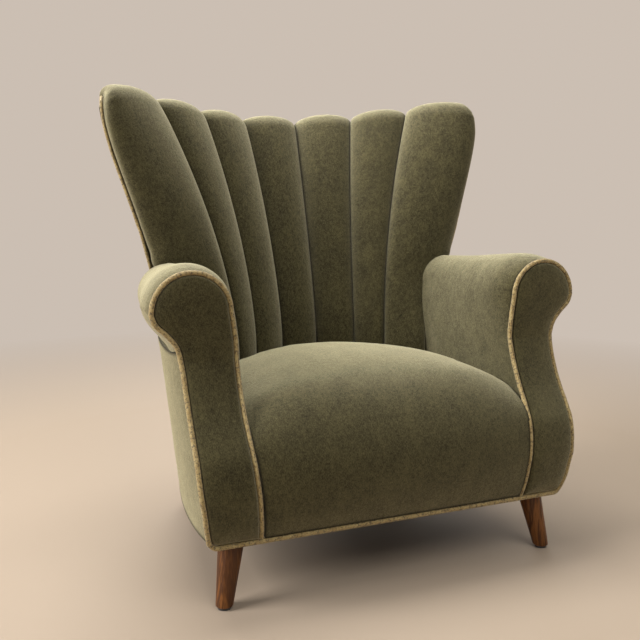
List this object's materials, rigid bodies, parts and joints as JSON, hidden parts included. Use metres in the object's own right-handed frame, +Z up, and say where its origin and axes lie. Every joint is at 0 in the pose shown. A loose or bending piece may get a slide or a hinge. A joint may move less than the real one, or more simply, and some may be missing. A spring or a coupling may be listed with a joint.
{
  "type": "armchair",
  "caption": "Upholstered reading chair with a fan of stuffed back channels, wings, rolled arms, gold piping and short splayed walnut legs",
  "frame": {"origin": "On the floor under the middle of the whole chair's width and depth.", "axes": "+X to the right of someone looking at its front, -Y forward, the way the sitter faces, +Z up."},
  "size_m": [0.8994, 0.7918, 0.9426],
  "materials": {
    "velvet": "olive mohair velvet, matt with a pale sheen at grazing angles",
    "piping": "woven gold and brown cord",
    "beech": "sawn, unfinished",
    "walnut": "dark stain, satin",
    "burlap": "coarse jute weave",
    "stuffing": "felted wadding",
    "steel": "oiled steel",
    "nylon": "moulded",
    "lining": "black cambric"
  },
  "bodies": {
    "root": {"arm_cover_left": "velvet", "arm_cover_right": "velvet", "arm_facing_left": "velvet", "arm_facing_right": "velvet", "arm_rail_left": "beech", "arm_rail_right": "beech", "arm_stump_left": "beech", "arm_stump_right": "beech", "back_burlap": "burlap", "back_channel_1": "velvet", "back_channel_2": "velvet", "back_channel_3": "velvet", "back_channel_4": "velvet", "back_channel_5": "velvet", "back_post_left": "beech", "back_post_right": "beech", "base_piping": "piping", "crest_rail": "beech", "dust_cover": "lining", "facing_piping_left": "piping", "facing_piping_right": "piping", "front_corner_block_left": "beech", "front_corner_block_right": "beech", "front_left_glide": "nylon", "front_left_leg": "walnut", "front_left_leg_plate": "steel", "front_right_glide": "nylon", "front_right_leg": "walnut", "front_right_leg_plate": "steel", "front_seat_rail": "beech", "outside_arm_left": "velvet", "outside_arm_right": "velvet", "outside_back": "velvet", "rear_corner_block_left": "beech", "rear_corner_block_right": "beech", "rear_left_glide": "nylon", "rear_left_leg": "walnut", "rear_left_leg_plate": "steel", "rear_right_glide": "nylon", "rear_right_leg": "walnut", "rear_right_leg_plate": "steel", "rear_seat_rail": "beech", "seat_burlap": "burlap", "seat_core": "stuffing", "seat_cover": "velvet", "seat_spring_1": "steel", "seat_spring_2": "steel", "seat_spring_3": "steel", "seat_spring_4": "steel", "seat_spring_5": "steel", "side_piping_left": "piping", "side_piping_right": "piping", "side_seat_rail_left": "beech", "side_seat_rail_right": "beech", "tack_rail": "beech", "wing_channel_left": "velvet", "wing_channel_right": "velvet", "wing_post_left": "beech", "wing_post_right": "beech"}
  },
  "joints": []
}
